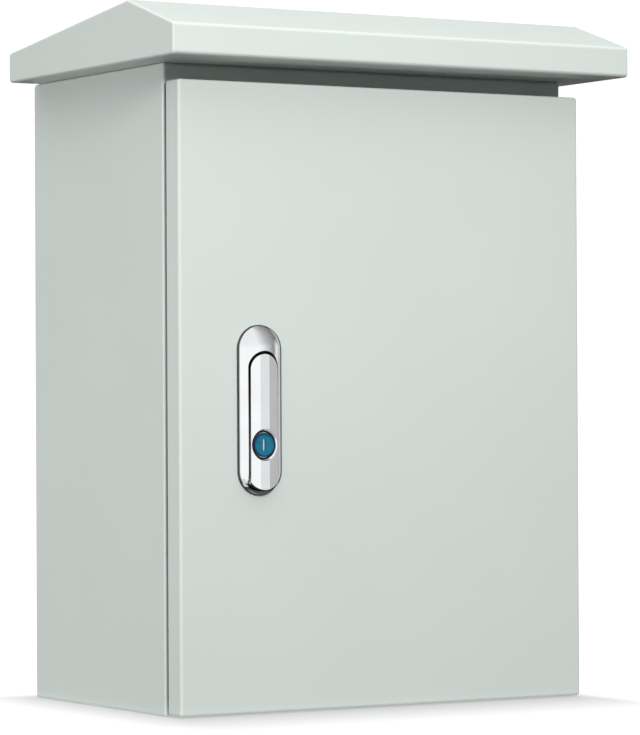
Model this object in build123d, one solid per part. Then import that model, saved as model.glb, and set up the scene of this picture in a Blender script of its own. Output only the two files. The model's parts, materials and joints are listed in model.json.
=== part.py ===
from build123d import *
import os
from math import sqrt

# Outdoor wall enclosure in folded sheet steel. Millimetres, +Z up, +Y towards the wall.
# The origin is the middle of the overall box, on the surface that the cabinet stands on.

# Sheet metal and clearances
sheet = 1.2
bend_radius = 2.0
overrun = 6.0
soft_gap = 0.3
running_gap = 0.05
bolt_gap = 0.3

# Cabinet body
body_width = 300.0
body_depth = 180.0
body_height = 407.0
opening_margin = 20.0
lip_depth = 12.0
lip_corner_radius = 8.0

# Wall holes in the back
wall_hole_radius = 4.5
wall_hole_from_side = 35.0
wall_hole_from_end = 43.5

# Rain hood
hood_front_overhang = 50.0
hood_side_overhang = 20.0
hood_wall_gap = 4.0
hood_eave_height = 19.4
hood_ridge_height = 38.7
hood_ridge_setback = 59.0
hood_seat_width = 20.0
hood_fold_radius = 2.5
hood_end_radius = 1.5
hood_fixing_inset = 11.0

# Hood fixings
hood_screw_radius = 3.0
hood_screw_head_radius = 6.0
hood_screw_head_height = 3.6
hood_screw_tail = 2.0
hood_washer_radius = 8.0
hood_washer_thickness = 2.0
hood_nut_flats = 10.0
hood_nut_thickness = 5.0

# Door
door_pan_depth = 16.0
door_gap = 4.0
door_bottom_gap = 1.0
door_top_gap = 11.7
gasket_width = 10.0
gasket_crown_radius = 2.0

# Hidden hinges
hinge_inset = 7.0
hinge_advance = 12.0
hinge_margin = 62.0
hinge_pin_radius = 2.5
hinge_pin_tail = 2.5
hinge_pin_head_radius = 3.8
hinge_pin_head_height = 1.8
hinge_eye_radius = 4.5
hinge_arm_thickness = 4.0
hinge_leaf_thickness = 1.5
hinge_leaf_height = 34.0
hinge_leaf_reach = 10.5
hinge_leaf_relief = 4.0
hinge_ear_radius = 4.4
hinge_ear_thickness = 2.5
hinge_web_thickness = 2.0
hinge_thrust_gap = 0.4
hinge_notch_gap = 1.0
hinge_notch_reach = 5.2

# Equipment plate and its fixings
plate_side_clearance = 5.0
plate_hole_clearance = 15.0
plate_thickness = 1.5
plate_fold = 8.0
plate_bend_radius = 2.0
plate_standoff = 14.0
plate_fixing_inset = 18.0
plate_stud_radius = 3.0
plate_stud_shoulder_radius = 6.0
plate_stud_tail = 4.0
plate_washer_radius = 6.4
plate_washer_thickness = 1.6
plate_nut_flats = 10.0
plate_nut_thickness = 5.0

# Cable entry in the floor
gland_setback = 75.0
gland_opening_width = 150.0
gland_opening_depth = 42.0
gland_border = 19.0
gland_plate_thickness = 1.5
gland_gasket_thickness = 2.0
gland_corner_radius = 5.0
gland_fixing_inset = 9.0
gland_stud_radius = 2.5
gland_stud_tail = 3.0
gland_nut_flats = 8.0
gland_nut_thickness = 4.0
grommet_count = 3
grommet_spacing = 46.0
grommet_hole_radius = 13.0
grommet_lip_width = 3.0
grommet_lip_thickness = 2.0
grommet_neck_radius = 9.0
grommet_neck_height = 10.0
grommet_top_radius = 6.0
grommet_wall = 1.5

# Earth points
earth_stud_radius = 4.0
earth_stud_length = 22.0
earth_stud_collar_radius = 7.0
earth_stud_collar_height = 2.0
earth_washer_radius = 8.0
earth_washer_thickness = 1.6
earth_nut_flats = 13.0
earth_nut_thickness = 6.5
earth_inset = 34.0
door_earth_stud_radius = 3.0
door_earth_stud_length = 16.0
door_earth_collar_radius = 5.5
door_earth_collar_height = 1.5
door_earth_nut_flats = 10.0
door_earth_nut_thickness = 5.0
door_earth_from_edge = 46.0
door_earth_height = 60.0

# Handle housing
lock_from_edge = 56.0
lock_centre_height = 190.3
lock_length = 105.4
lock_width = 30.0
lock_edge_height = 1.8
lock_crown_rise = 5.6
lock_end_height = 0.6
lock_seal_thickness = 1.0
lock_seal_border = 0.5
tray_border = 1.4
tray_depth = 11.0

# Handle lever
lever_width = 19.2
lever_tip_height = 34.9
lever_gap = 1.0
lever_tip_gap = 2.0
lever_end_border = 3.0
lever_height = 7.2
lever_ridge_width = 6.4
lever_facet_drop = 1.0
lever_lift_gap = 1.0
lever_floor_drop = 0.4
lever_wall = 2.0
lever_pivot_from_end = 9.8
lever_pivot_height = 1.5
lever_pin_radius = 1.25
lever_pin_reach = 2.4
lever_pin_wall = 1.4
lever_heel_swing = 7.4
lever_heel_gap = 0.6
spring_span = 26.0
spring_width = 9.0
spring_thickness = 0.5

# Key cylinder
key_below_centre = 21.7
barrel_radius = 7.8
barrel_height = 5.0
barrel_lever_gap = 0.6
key_hole_chamfer = 0.6
barrel_nut_flats = 22.0
barrel_nut_thickness = 3.0
plug_radius = 5.5
plug_stand = 0.1
plug_square = 7.0
cap_radius = 7.6
cap_thickness = 1.2
cap_edge_radius = 0.4
cap_rim_width = 1.4
cap_dish_depth = 0.4
key_slot_width = 1.8
key_slot_length = 7.4
key_slot_depth = 9.0
shutter_thickness = 0.8

# Latch cam
cam_flange_gap = 0.8
cam_thickness = 3.0
cam_width = 16.0
cam_overlap = 7.0
cam_washer_radius = 6.5
cam_washer_thickness = 1.2
cam_thread_radius = 3.0
cam_nut_flats = 10.0
cam_nut_thickness = 4.0
cam_thread_tail = 1.5

# Clamps that hold the handle housing
clamp_width = 12.0
clamp_thickness = 1.5
clamp_foot = 5.0
clamp_side_gap = 2.0
clamp_upper_place = 26.0
clamp_lower_place = -1.0
clamp_screw_radius = 2.0
clamp_screw_bite = 7.0
clamp_screw_head_radius = 3.8
clamp_screw_head_height = 2.4

# Places worked out from the sizes above
half_width = body_width / 2
body_middle_z = body_height / 2
front_y = (hood_front_overhang - body_depth) / 2
back_y = front_y + body_depth
back_inner_y = back_y - sheet
door_back_y = front_y - door_gap
door_front_y = door_back_y - door_pan_depth
door_inner_y = door_front_y + sheet
door_bottom = door_bottom_gap
door_top = body_height - door_top_gap
opening_half_width = half_width - opening_margin
opening_height = door_top - door_bottom - 2 * opening_margin
opening_middle_z = (door_top + door_bottom) / 2
lip_front_y = front_y - lip_depth
wall_hole_spacing_x = body_width - 2 * wall_hole_from_side
wall_hole_spacing_z = body_height - 2 * wall_hole_from_end
plate_width = 2 * (opening_half_width - plate_side_clearance)
plate_height = wall_hole_spacing_z - 2 * plate_hole_clearance
hood_front_y = front_y - hood_front_overhang
hood_back_y = back_y - hood_wall_gap
hood_half_width = half_width + hood_side_overhang
hinge_x = half_width - hinge_inset
hinge_y = front_y - hinge_advance
hinge_heights = (door_bottom + hinge_margin, door_top - hinge_margin)
plate_back_y = back_inner_y - plate_standoff
plate_front_y = plate_back_y - plate_thickness
gland_y = front_y + gland_setback
gland_plate_bottom = sheet + gland_gasket_thickness
gland_plate_top = gland_plate_bottom + gland_plate_thickness
lock_straight_half = (lock_length - lock_width) / 2
lock_seat_y = door_front_y - lock_seal_thickness
lever_pivot_v = lever_pivot_from_end - lock_length / 2
lever_end_radius = lock_width / 2 - lever_end_border
lever_underside = lever_lift_gap - lever_floor_drop
lock_x = lock_from_edge - half_width
cam_front_w = lock_seat_y - (front_y + sheet + cam_flange_gap)
cam_back_w = cam_front_w - cam_thickness
lock_frame = Plane((lock_x, lock_seat_y, lock_centre_height), x_dir=(1, 0, 0), z_dir=(0, -1, 0))


# Shapes that several pieces share
def block(x_span, y_span, z_span):
    low = [min(span) for span in (x_span, y_span, z_span)]
    high = [max(span) for span in (x_span, y_span, z_span)]
    middle = [(a + b) / 2 for a, b in zip(low, high)]
    return Pos(*middle) * Box(*[b - a for a, b in zip(low, high)])


def disc(radius, bottom, top):
    return Pos(0, 0, (bottom + top) / 2) * Cylinder(radius, top - bottom)


def hex_nut(flats, thickness, bore_radius):
    outline = RegularPolygon(flats / 2, 6, major_radius=False) - Circle(bore_radius)
    corner_radius = flats / sqrt(3)
    crown = Cone(corner_radius + thickness, corner_radius - (corner_radius - flats / 2) / 2, thickness * 2)
    return extrude(outline, thickness) & crown


def washer(radius, thickness, bore_radius):
    return extrude(Circle(radius) - Circle(bore_radius), thickness)


def at_each(places, piece):
    return Compound([place * piece for place in places])


def upright(sketch, front, back):
    plane = Plane((0, back, 0), x_dir=(1, 0, 0), z_dir=(0, -1, 0))
    return extrude(plane * sketch, back - front)


def in_lock(piece):
    return lock_frame.location * piece


# Cabinet body
def rounded_box(inset):
    side = half_width - inset
    box = block((-side, side), (front_y + inset, back_y - inset), (inset, body_height - inset))
    return fillet(box.edges(), bend_radius - inset)


def opening_sketch(grow):
    corner = lip_corner_radius + grow
    outline = RectangleRounded(2 * (opening_half_width + grow), opening_height + 2 * grow, corner)
    return Pos(0, opening_middle_z) * outline


def wall_hole_places():
    spots = GridLocations(wall_hole_spacing_x, wall_hole_spacing_z, 2, 2)
    return [Pos(spot.position.X, spot.position.Y + body_middle_z) for spot in spots]


def hood_fixing_places():
    x = half_width - hood_fixing_inset
    front = front_y + hood_fixing_inset
    back = hood_back_y - hood_fixing_inset
    return [Pos(sx * x, y, 0) for sx in (-1, 1) for y in (front, back)]


def hood_fixing_holes(bottom, top):
    return at_each(hood_fixing_places(), disc(hood_screw_radius + bolt_gap, bottom, top))


def cabinet_shell():
    shell = rounded_box(0) - rounded_box(sheet)
    lip = upright(opening_sketch(sheet), lip_front_y, front_y + sheet)
    shell += lip
    shell -= upright(opening_sketch(0), lip_front_y - overrun, front_y + sheet + overrun)
    wall_holes = Sketch() + [place * Circle(wall_hole_radius) for place in wall_hole_places()]
    shell -= upright(wall_holes, back_y - overrun, back_y + overrun)
    shell -= hood_fixing_holes(body_height - overrun, body_height + overrun)
    cable_hole = Pos(0, gland_y) * Rectangle(gland_opening_width, gland_opening_depth)
    return shell - extrude(Pos(0, 0, -overrun) * cable_hole, 2 * overrun)


# Rain hood
def hood_profile():
    bottom = body_height
    eave = bottom + hood_eave_height
    ridge = bottom + hood_ridge_height
    ridge_y = hood_front_y + hood_ridge_setback
    corners = [
        (hood_front_y, bottom),
        (hood_front_y, eave),
        (ridge_y, ridge),
        (hood_back_y, eave),
        (hood_back_y, bottom),
    ]
    return make_face(Polyline(*corners, close=True))


def hood_prism(inset):
    profile = offset(hood_profile(), -inset, kind=Kind.INTERSECTION) if inset else hood_profile()
    length = hood_half_width - inset
    prism = extrude(Plane.YZ * profile, length, both=True)
    prism = fillet(prism.edges().filter_by(Axis.X), hood_fold_radius - inset)
    if inset:
        return prism
    ends = prism.faces().sort_by(Axis.X)
    return fillet(ends[0].edges() + ends[-1].edges(), hood_end_radius)


def rain_hood():
    hood = hood_prism(0) - hood_prism(sheet)
    mouth_side = half_width - hood_seat_width
    mouth_y = (front_y + hood_seat_width, hood_back_y - hood_seat_width)
    hood -= block((-mouth_side, mouth_side), mouth_y, (body_height - overrun, body_height + overrun))
    return hood - hood_fixing_holes(body_height - overrun, body_height + sheet + overrun)


def hood_washers():
    top = body_height - sheet
    ring = washer(hood_washer_radius, hood_washer_thickness, hood_screw_radius + bolt_gap)
    return at_each(hood_fixing_places(), Pos(0, 0, top - hood_washer_thickness) * ring)


def hood_screws():
    seat = body_height - sheet - hood_washer_thickness
    tip = body_height + sheet + hood_nut_thickness + hood_screw_tail
    head = disc(hood_screw_head_radius, seat - hood_screw_head_height, seat)
    head = fillet(head.edges().sort_by(Axis.Z)[0], hood_screw_head_height / 2)
    screw = head + disc(hood_screw_radius, seat - hood_screw_head_height / 2, tip)
    return at_each(hood_fixing_places(), screw)


def hood_nuts():
    nut = hex_nut(hood_nut_flats, hood_nut_thickness, hood_screw_radius + running_gap)
    return at_each(hood_fixing_places(), Pos(0, 0, body_height + sheet) * nut)


# Door
def door_box(inset, back):
    side = half_width - inset
    box = block((-side, side), (door_front_y + inset, back), (door_bottom + inset, door_top - inset))
    edges = box.faces().sort_by(Axis.Y)[0].edges() + box.edges().filter_by(Axis.Y)
    return fillet(edges, bend_radius - inset)


def lock_outline(inset):
    return SlotOverall(lock_length - 2 * inset, lock_width - 2 * inset, rotation=90)


def hinge_notch(height):
    reach = hinge_arm_thickness / 2 + hinge_notch_gap
    depth = (hinge_y - hinge_notch_reach, door_back_y + overrun)
    return block((half_width - hinge_inset, half_width + overrun), depth, (height - reach, height + reach))


def door_panel():
    door = door_box(0, door_back_y) - door_box(sheet, door_back_y + overrun)
    for height in hinge_heights:
        door -= hinge_notch(height)
    cut = extrude(lock_outline(tray_border - soft_gap), overrun, both=True)
    return door - in_lock(Pos(0, 0, -lock_seal_thickness) * cut)


def door_gasket():
    middle = sheet / 2
    outer = opening_sketch(middle + gasket_width / 2)
    inner = opening_sketch(middle - gasket_width / 2)
    strip = upright(outer - inner, door_inner_y, lip_front_y - soft_gap)
    crown = strip.faces().sort_by(Axis.Y)[-1].edges()
    return fillet(crown, gasket_crown_radius)


# Hidden hinges
def hinge_arm(height):
    half = hinge_arm_thickness / 2
    eye = Pos(hinge_x, hinge_y) * Circle(hinge_eye_radius)
    arm_y = (hinge_y + front_y) / 2
    arm = Pos(hinge_x - hinge_eye_radius / 2, arm_y) * Rectangle(hinge_eye_radius, hinge_advance)
    bore = Pos(hinge_x, hinge_y) * Circle(hinge_pin_radius + running_gap)
    knuckle = extrude(Pos(0, 0, height - half) * (eye + arm - bore), hinge_arm_thickness)
    leaf_x = (hinge_x - hinge_leaf_reach, hinge_x - hinge_leaf_relief)
    leaf_z = (height - hinge_leaf_height / 2, height + hinge_leaf_height / 2)
    return knuckle + block(leaf_x, (front_y - hinge_leaf_thickness, front_y), leaf_z)


def hinge_ear_levels():
    inner = hinge_arm_thickness / 2 + hinge_thrust_gap
    return inner, inner + hinge_ear_thickness


def hinge_bracket(height):
    inner, outer = hinge_ear_levels()
    base_y = (door_inner_y + hinge_y) / 2
    ear = Pos(hinge_x, hinge_y) * Circle(hinge_ear_radius)
    ear += Pos(hinge_x, base_y) * Rectangle(2 * hinge_ear_radius, hinge_y - door_inner_y)
    solid = extrude(Pos(0, 0, height - outer) * ear, 2 * outer)
    bends = solid.edges().filter_by(Axis.X).group_by(Axis.Y)[0]
    solid = fillet(bends, hinge_ear_thickness / 2)
    side = hinge_ear_radius + overrun
    gap_y = (door_inner_y + hinge_web_thickness, hinge_y + side)
    solid -= block((hinge_x - side, hinge_x + side), gap_y, (height - inner, height + inner))
    bore = disc(hinge_pin_radius + running_gap, height - outer - overrun, height + outer + overrun)
    return solid - Pos(hinge_x, hinge_y) * bore


def hinge_pin(height):
    inner, outer = hinge_ear_levels()
    pin = disc(hinge_pin_radius, height - outer - hinge_pin_tail, height + outer)
    pin = chamfer(pin.edges().sort_by(Axis.Z)[0], hinge_pin_radius / 3)
    head = disc(hinge_pin_head_radius, height + outer, height + outer + hinge_pin_head_height)
    head = fillet(head.edges().sort_by(Axis.Z)[-1], hinge_pin_head_height / 2)
    return Pos(hinge_x, hinge_y) * (pin + head)


# Equipment plate
def plate_fixing_places():
    x = plate_width - 2 * plate_fixing_inset
    z = plate_height - 2 * plate_fixing_inset
    turn = Plane((0, plate_front_y, body_middle_z), x_dir=(1, 0, 0), z_dir=(0, -1, 0))
    return [turn.location * Pos(spot.position.X, spot.position.Y, 0) for spot in GridLocations(x, z, 2, 2)]


def mounting_plate():
    side = plate_width / 2
    top = plate_height / 2
    z_span = (body_middle_z - top, body_middle_z + top)
    solid = block((-side, side), (plate_front_y, plate_front_y + plate_fold), z_span)
    bends = solid.edges().filter_by(Axis.Z).group_by(Axis.Y)[0]
    solid = fillet(bends, plate_bend_radius)
    inner_side = side - plate_thickness
    hollow = block((-inner_side, inner_side), (plate_back_y, plate_back_y + plate_fold), z_span)
    solid -= hollow
    hole = disc(plate_stud_radius + bolt_gap, -plate_thickness - overrun, overrun)
    return solid - at_each(plate_fixing_places(), hole)


def plate_studs():
    back = -plate_thickness
    tip = plate_washer_thickness + plate_nut_thickness + plate_stud_tail
    stud = disc(plate_stud_shoulder_radius, back - plate_standoff, back)
    stud += disc(plate_stud_radius, back - plate_standoff / 2, tip)
    return at_each(plate_fixing_places(), stud)


def plate_washers():
    ring = washer(plate_washer_radius, plate_washer_thickness, plate_stud_radius + bolt_gap)
    return at_each(plate_fixing_places(), ring)


def plate_nuts():
    nut = hex_nut(plate_nut_flats, plate_nut_thickness, plate_stud_radius + running_gap)
    return at_each(plate_fixing_places(), Pos(0, 0, plate_washer_thickness) * nut)


# Cable entry
def gland_outline():
    width = gland_opening_width + 2 * gland_border
    depth = gland_opening_depth + 2 * gland_border
    return RectangleRounded(width, depth, gland_corner_radius)


def gland_fixing_places():
    x = gland_opening_width + 2 * (gland_border - gland_fixing_inset)
    y = gland_opening_depth + 2 * (gland_border - gland_fixing_inset)
    return [Pos(spot.position.X, spot.position.Y + gland_y, 0) for spot in GridLocations(x, y, 2, 2)]


def gland_fixing_holes():
    hole = disc(gland_stud_radius + bolt_gap, 0, gland_plate_top + overrun)
    return at_each(gland_fixing_places(), hole)


def grommet_places():
    spots = GridLocations(grommet_spacing, 0, grommet_count, 1)
    return [Pos(spot.position.X, gland_y, gland_plate_bottom) for spot in spots]


def gland_gasket():
    ring = gland_outline() - Rectangle(gland_opening_width, gland_opening_depth)
    return extrude(Pos(0, gland_y, sheet) * ring, gland_gasket_thickness) - gland_fixing_holes()


def gland_plate():
    plate = extrude(Pos(0, gland_y, gland_plate_bottom) * gland_outline(), gland_plate_thickness)
    hole = disc(grommet_hole_radius, -overrun, gland_plate_thickness + overrun)
    return plate - at_each(grommet_places(), hole) - gland_fixing_holes()


def gland_studs():
    tip = gland_plate_top + gland_nut_thickness + gland_stud_tail
    return at_each(gland_fixing_places(), disc(gland_stud_radius, sheet, tip))


def gland_nuts():
    nut = hex_nut(gland_nut_flats, gland_nut_thickness, gland_stud_radius + running_gap)
    return at_each(gland_fixing_places(), Pos(0, 0, gland_plate_top) * nut)


def cable_grommets():
    groove = grommet_hole_radius - soft_gap
    lip = grommet_hole_radius + grommet_lip_width
    top_lip = gland_plate_thickness + grommet_lip_thickness
    crest = top_lip + grommet_neck_height
    bore = grommet_neck_radius - grommet_wall
    profile = Polyline(
        (bore, -grommet_lip_thickness),
        (lip, -grommet_lip_thickness),
        (lip, 0),
        (groove, 0),
        (groove, gland_plate_thickness),
        (lip, gland_plate_thickness),
        (lip, top_lip),
        (grommet_neck_radius, top_lip),
        (grommet_top_radius, crest),
        (0, crest),
        (0, crest - grommet_wall),
        (grommet_top_radius - grommet_wall, crest - grommet_wall),
        (bore, top_lip),
        close=True,
    )
    grommet = revolve(make_face(Plane.XZ * profile), Axis.Z)
    return at_each(grommet_places(), grommet)


# Earth points
def earth_place():
    return Pos(half_width - earth_inset, back_y - earth_inset, sheet)


def earth_stud():
    stud = disc(earth_stud_collar_radius, 0, earth_stud_collar_height)
    return earth_place() * (stud + disc(earth_stud_radius, 0, earth_stud_length))


def earth_washer():
    ring = washer(earth_washer_radius, earth_washer_thickness, earth_stud_radius + bolt_gap)
    return earth_place() * Pos(0, 0, earth_stud_collar_height) * ring


def earth_nut():
    nut = hex_nut(earth_nut_flats, earth_nut_thickness, earth_stud_radius + running_gap)
    return earth_place() * Pos(0, 0, earth_stud_collar_height + earth_washer_thickness) * nut


def door_earth_place():
    x = door_earth_from_edge - half_width
    return Plane((x, door_inner_y, door_earth_height), x_dir=(1, 0, 0), z_dir=(0, 1, 0)).location


def door_earth_stud():
    stud = disc(door_earth_collar_radius, 0, door_earth_collar_height)
    return door_earth_place() * (stud + disc(door_earth_stud_radius, 0, door_earth_stud_length))


def door_earth_nut():
    nut = hex_nut(door_earth_nut_flats, door_earth_nut_thickness, door_earth_stud_radius + running_gap)
    return door_earth_place() * Pos(0, 0, door_earth_collar_height) * nut


# Handle housing, in its own frame: x across, y up the door, z out of the door
def crown_height(distance):
    radius = ((lock_width / 2) ** 2 + lock_crown_rise ** 2) / (2 * lock_crown_rise)
    return lock_edge_height + lock_crown_rise - radius + sqrt(radius ** 2 - distance ** 2)


def crown_face():
    side = lock_width / 2
    top = lock_edge_height + lock_crown_rise
    rim = Polyline((0, top), (0, 0), (side, 0), (side, lock_edge_height))
    arc = ThreePointArc((side, lock_edge_height), (side / 2, crown_height(side / 2)), (0, top))
    return make_face(Plane.XZ * (rim + arc))


def crowned_slot():
    half_face = crown_face()
    half_bar = extrude(half_face, lock_straight_half, both=True)
    bar = half_bar + mirror(half_bar, Plane.YZ)
    cap = Pos(0, lock_straight_half) * revolve(half_face, Axis.Z, 180)
    return bar + cap + mirror(cap, Plane.XZ)


def lever_outline(side_gap, tip_gap):
    side = lever_width / 2 + side_gap
    tip = lever_tip_height - lever_width / 2 + tip_gap - side_gap
    end = lever_end_radius + side_gap
    bar = Pos(0, (tip - lock_straight_half) / 2) * Rectangle(2 * side, tip + lock_straight_half)
    round_end = Pos(0, -lock_straight_half) * (Circle(end) & Rectangle(2 * side, 2 * end))
    return bar + round_end + Pos(0, tip) * Circle(side)


def pivot_rod(radius, half_length):
    place = Pos(0, lever_pivot_v, lever_pivot_height) * Rot(0, 90, 0)
    return place * Cylinder(radius, 2 * half_length)


def key_rod(radius, bottom, top):
    return Pos(0, -key_below_centre) * disc(radius, bottom, top)


def clamp_places():
    return [Pos(0, clamp_upper_place, -tray_depth), Pos(0, clamp_lower_place, -tray_depth)]


def lock_base():
    base = crowned_slot() + extrude(lock_outline(tray_border), -tray_depth)
    pocket = extrude(lever_outline(lever_gap, lever_tip_gap), lever_height + lever_floor_drop + overrun)
    base -= Pos(0, 0, -lever_floor_drop) * pocket
    heel_room = extrude(lever_outline(lever_gap, lever_tip_gap), tray_depth, both=True)
    base -= heel_room & pivot_rod(lever_heel_swing + lever_heel_gap, lock_width)
    end_top = lever_pivot_v - lever_pin_radius - lever_pin_wall
    end_room = ((-lock_width, lock_width), (-lock_length, end_top), (lock_end_height, lever_height + overrun))
    base -= block(*end_room)
    base -= pivot_rod(lever_pin_radius + running_gap, lever_width / 2 + lever_gap + lever_pin_reach)
    base -= key_rod(barrel_radius + running_gap, -tray_depth - overrun, overrun)
    screw_hole = disc(clamp_screw_radius + running_gap, -overrun, clamp_screw_bite)
    return in_lock(base - at_each(clamp_places(), screw_hole))


def lock_seal():
    ring = lock_outline(-lock_seal_border) - lock_outline(tray_border - soft_gap)
    return in_lock(extrude(ring, -lock_seal_thickness))


def lock_clamps():
    foot_side = lock_width / 2 + clamp_side_gap
    top = foot_side + clamp_thickness
    drop = tray_depth - lock_seal_thickness - sheet
    web = Pos(0, -clamp_thickness / 2) * Rectangle(2 * top, clamp_thickness)
    leg = Pos(top - clamp_thickness / 2, drop / 2) * Rectangle(clamp_thickness, drop)
    foot = Pos(top + clamp_foot / 2, drop - clamp_thickness / 2) * Rectangle(clamp_foot, clamp_thickness)
    section = web + leg + foot + mirror(leg + foot, Plane.YZ)
    clamp = extrude(Plane.XZ * section, clamp_width / 2, both=True)
    clamp -= disc(clamp_screw_radius + bolt_gap, -overrun, overrun)
    return in_lock(at_each(clamp_places(), clamp))


def lock_screws():
    head = disc(clamp_screw_head_radius, -clamp_thickness - clamp_screw_head_height, -clamp_thickness)
    head = fillet(head.edges().sort_by(Axis.Z)[0], clamp_screw_head_height / 2)
    screw = head + disc(clamp_screw_radius, -clamp_thickness - clamp_screw_head_height / 2, clamp_screw_bite)
    return in_lock(at_each(clamp_places(), screw))


# Handle lever
def lever_section():
    side = lever_width / 2 + overrun
    ridge = lever_ridge_width / 2
    slope = lever_facet_drop / (lever_width / 2 - ridge)
    edge = lever_height - slope * (side - ridge)
    top = [(0, lever_height), (ridge, lever_height), (side, edge)]
    half = top + [(side, lever_underside), (0, lever_underside)]
    half_face = make_face(Plane.XZ * Polyline(*half, close=True))
    bar = extrude(half_face, lock_length, both=True)
    return bar + mirror(bar, Plane.YZ)


def lever_hollow():
    side = lever_width / 2 - lever_wall
    bottom = barrel_radius + barrel_lever_gap + lever_wall - key_below_centre
    top = lever_tip_height - lever_width / 2
    roof = lever_height - lever_facet_drop - lever_wall
    return (-side, side), (bottom, top), (-overrun, roof)


def key_hole_bevel(hole_radius):
    bottom = lever_height - lever_facet_drop - key_hole_chamfer
    rise = lever_height + overrun - bottom
    flare = Cone(hole_radius, hole_radius + rise, rise, align=(Align.CENTER, Align.CENTER, Align.MIN))
    return Pos(0, -key_below_centre, bottom) * flare


def lock_lever():
    lever = extrude(lever_outline(0, 0), lever_height + overrun) & lever_section()
    side = lever_width / 2 + overrun
    lever -= pivot_rod(lever_pin_radius + running_gap, side)
    hole_radius = barrel_radius + barrel_lever_gap
    lever -= key_rod(hole_radius, -overrun, lever_height + overrun)
    lever -= key_hole_bevel(hole_radius)
    return in_lock(lever - block(*lever_hollow()))


def lever_pin():
    return in_lock(pivot_rod(lever_pin_radius, lever_width / 2 + lever_gap + lever_pin_reach - soft_gap))


def lever_spring():
    across, along, depth = lever_hollow()
    middle = sum(along) / 2
    start = middle - spring_span / 2
    end = middle + spring_span / 2
    floor = -lever_floor_drop
    crest = max(depth) - soft_gap
    under = ThreePointArc((start, floor), (middle, crest - spring_thickness), (end, floor))
    over = Pos(0, spring_thickness) * under
    ends = [Line((v, floor), (v, floor + spring_thickness)) for v in (start, end)]
    section = make_face(Plane.YZ * (Curve() + [under, over] + ends))
    return in_lock(extrude(section, spring_width / 2, both=True))


# Key cylinder
def lock_barrel():
    barrel = key_rod(barrel_radius, cam_front_w + soft_gap, barrel_height)
    bore = key_rod(plug_radius + running_gap, cam_front_w - overrun, barrel_height + overrun)
    return in_lock(barrel - bore)


def barrel_nut():
    nut = hex_nut(barrel_nut_flats, barrel_nut_thickness, barrel_radius + running_gap)
    return in_lock(Pos(0, -key_below_centre, -tray_depth - barrel_nut_thickness) * nut)


def key_slot(bottom, top, gap):
    slot = SlotOverall(key_slot_length - 2 * gap, key_slot_width - 2 * gap, rotation=90)
    return Pos(0, -key_below_centre, bottom) * extrude(slot, top - bottom)


def cam_tail_levels():
    washer_back = cam_back_w - cam_washer_thickness
    return washer_back, washer_back - cam_nut_thickness - cam_thread_tail


def key_plug():
    face = barrel_height + plug_stand
    washer_back, tip = cam_tail_levels()
    plug = key_rod(plug_radius, cam_front_w, face)
    square = Pos(0, -key_below_centre, cam_back_w) * Rectangle(plug_square, plug_square)
    plug += extrude(square, cam_thickness + plug_radius)
    plug += key_rod(cam_thread_radius, tip, cam_front_w)
    return in_lock(plug - key_slot(face - key_slot_depth, face + overrun, 0))


def key_shutter():
    top = barrel_height + plug_stand
    return in_lock(key_slot(top - shutter_thickness, top, running_gap))


def plug_cap():
    face = barrel_height + plug_stand
    top = face + cap_thickness
    cap = key_rod(cap_radius, face, top)
    cap = fillet(cap.edges().sort_by(Axis.Z)[-1], cap_edge_radius)
    dish_radius = cap_radius - cap_rim_width
    dish = Cone(dish_radius - cap_dish_depth, dish_radius, cap_dish_depth)
    cap -= Pos(0, -key_below_centre, top - cap_dish_depth / 2) * dish
    return in_lock(cap - key_slot(face - overrun, top + overrun, 0))


def latch_cam():
    reach = half_width - opening_margin + cam_overlap - (half_width - lock_from_edge)
    side = cam_width / 2
    straight = reach - side
    outline = Circle(side) + Pos(0, -straight) * Circle(side)
    outline += Pos(0, -straight / 2) * Rectangle(cam_width, straight)
    outline -= Rectangle(plug_square + 2 * running_gap, plug_square + 2 * running_gap)
    return in_lock(Pos(0, -key_below_centre, cam_back_w) * extrude(outline, cam_thickness))


def cam_washer():
    ring = washer(cam_washer_radius, cam_washer_thickness, cam_thread_radius + bolt_gap)
    return in_lock(Pos(0, -key_below_centre, cam_back_w - cam_washer_thickness) * ring)


def cam_nut():
    washer_back, tip = cam_tail_levels()
    nut = hex_nut(cam_nut_flats, cam_nut_thickness, cam_thread_radius + running_gap)
    return in_lock(Pos(0, -key_below_centre, washer_back - cam_nut_thickness) * nut)


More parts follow.
